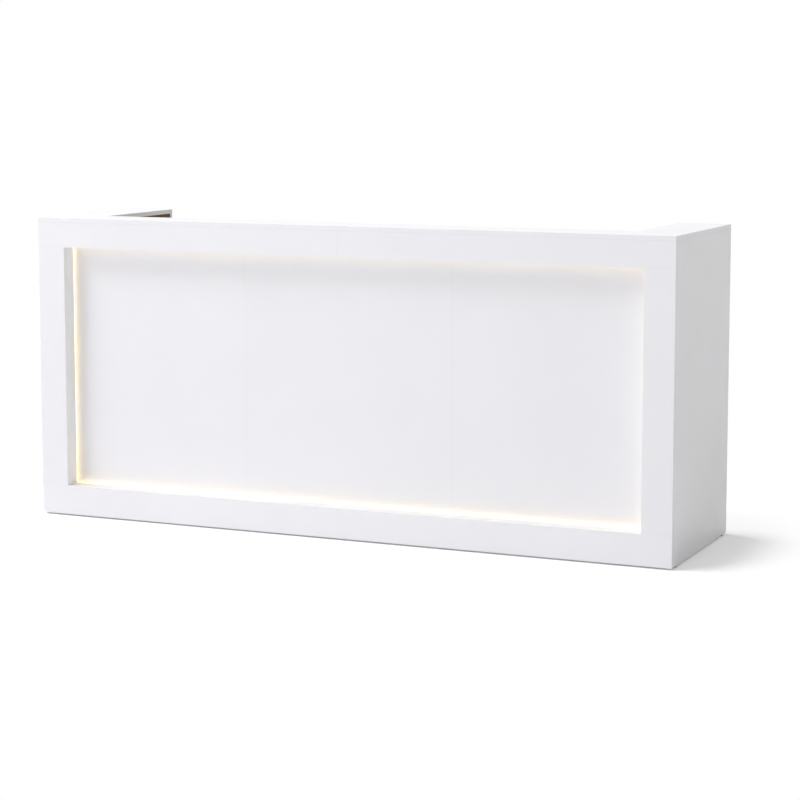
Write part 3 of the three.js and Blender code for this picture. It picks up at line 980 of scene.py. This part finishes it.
@dataclass(frozen=True)
class Studio:
    """A white studio: floor, surrounding light, lamps and camera.

    Attributes:
        ambient: Level of the surrounding light.
        floor_half: Half of the floor's width.
        floor_tone: Reflectance of the floor towards the desk.
        floor_seen: Reflectance of the floor towards the camera.
        floor_lift: Light that the camera sees the floor give by itself near the desk.
        floor_reach: Distances from the middle between which the floor turns plain white.
        lamps: The lamps.
        camera_place: Where the camera stands.
        azimuth: The camera's direction round the desk in degrees.
        elevation: Its height above the horizon in degrees.
        lens: Focal length in millimetres.
        rise: Vertical shift of the frame.
    """

    ambient: float = 0.455
    floor_half: float = 40.0
    floor_tone: float = 0.85
    floor_seen: float = 1.0
    floor_lift: float = 0.165
    floor_reach: Span = (1.27, 1.6)
    lamps: tuple[Softbox | HighLight, ...] = (
        HighLight(),
        Softbox("key", (-6.2, -5.6, 9.0), (0.0, -0.3, 0.6), (5.9, 4.8), 600.0, (0.94, 0.93, 1.0)),
        Softbox("fill", (-6.3, -9.9, 2.6), (0.0, -0.3, 0.5), (5.4, 3.2), 132.0, (0.93, 0.92, 1.0)),
    )
    camera_place: Point = (3.2665, -7.195, 1.5875)
    azimuth: float = 23.818
    elevation: float = 6.62
    lens: float = 100.364
    rise: float = -0.0771

    def build(self) -> None:
        """Sets up the studio."""
        scene = bpy.context.scene
        scene.view_settings.view_transform = "Standard"
        self.surround(scene)
        self.floor(scene)
        for lamp in self.lamps:
            lamp.build()
        self.camera(scene)
        LOG.info("studio: floor, %d lamps and camera", len(self.lamps))

    def surround(self, scene: bpy.types.Scene) -> None:
        """Lights the desk evenly from all round, while the camera sees plain white.

        Args:
            scene: The scene to light.
        """
        world = bpy.data.worlds.new("studio")
        world.use_nodes = True
        nodes = NodeTree(world.node_tree)
        level = nodes.add("ShaderNodeMapRange", Value=self.seen(nodes), To_Min=self.ambient, To_Max=1.0)
        light = nodes.add("ShaderNodeBackground", Color=WHITE, Strength=level.outputs[0])
        nodes.finish("ShaderNodeOutputWorld", light.outputs[0])
        scene.world = world

    def floor(self, scene: bpy.types.Scene) -> None:
        """Lays the floor.

        Args:
            scene: The scene that gets it.
        """
        half = self.floor_half
        corners = [(-half, -half, 0.0), (half, -half, 0.0), (half, half, 0.0), (-half, half, 0.0)]
        data = bpy.data.meshes.new("floor")
        data.from_pydata(corners, [], [(0, 1, 2, 3)])
        data.materials.append(self.floor_material())
        floor = bpy.data.objects.new("floor", data)
        scene.collection.objects.link(floor)

    def floor_material(self) -> bpy.types.Material:
        """Makes a pale floor that keeps the desk's shadow and turns plain white further out.

        Returns:
            The material.
        """
        material = bpy.data.materials.new("floor")
        material.use_nodes = True
        nodes = NodeTree(material.node_tree)
        matt = nodes.add("ShaderNodeBsdfDiffuse", Color=(self.floor_tone,) * 3).outputs[0]
        pale = nodes.add("ShaderNodeBsdfDiffuse", Color=(self.floor_seen,) * 3).outputs[0]
        lift = nodes.add("ShaderNodeEmission", Color=WHITE, Strength=self.floor_lift).outputs[0]
        white = nodes.add("ShaderNodeEmission", Color=WHITE, Strength=1.0).outputs[0]
        near = nodes.chain(nodes.add("ShaderNodeAddShader"), pale, lift).outputs[0]
        place = nodes.add("ShaderNodeTexCoord").outputs["Object"]
        distance = nodes.add("ShaderNodeVectorMath", {"operation": "LENGTH"}, Vector=place).outputs["Value"]
        start, end = self.floor_reach
        far = nodes.add(
            "ShaderNodeMapRange", {"interpolation_type": "SMOOTHSTEP"},
            Value=distance, From_Min=start, From_Max=end,
        ).outputs[0]
        shown = nodes.mix(far, near, white)
        nodes.finish("ShaderNodeOutputMaterial", nodes.mix(self.seen(nodes), matt, shown))
        return material

    @staticmethod
    def seen(nodes: NodeTree) -> Socket:
        """Tells what the camera sees, by itself or in gloss and glass, from what lights the desk.

        Args:
            nodes: The tree that asks.

        Returns:
            1 for such a ray and 0 for any other.
        """
        path = nodes.add("ShaderNodeLightPath").outputs
        direct = nodes.math("MAXIMUM", path["Is Camera Ray"], path["Is Glossy Ray"])
        return nodes.math("MAXIMUM", direct, path["Is Transmission Ray"])

    def camera(self, scene: bpy.types.Scene) -> None:
        """Stands the camera in front of the desk.

        Args:
            scene: The scene that it shows.
        """
        data = bpy.data.cameras.new("camera")
        data.lens = self.lens
        data.shift_y = self.rise
        camera = bpy.data.objects.new("camera", data)
        around, above = math.radians(self.azimuth), math.radians(self.elevation)
        level = math.cos(above)
        back = Vector((math.sin(around) * level, -math.cos(around) * level, math.sin(above)))
        camera.location = self.camera_place
        camera.rotation_euler = (-back).to_track_quat("-Z", "Y").to_euler()
        scene.collection.objects.link(camera)
        scene.camera = camera


def main() -> None:
    """Dresses the desk, adds its fittings and sets up the studio."""
    logging.basicConfig(level=logging.INFO)
    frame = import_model()
    desk = Desk(frame)
    desk.dress()
    for fittings in FITTINGS:
        fittings.build(desk.materials)
    Studio().build()


if __name__ == "__main__":
    main()
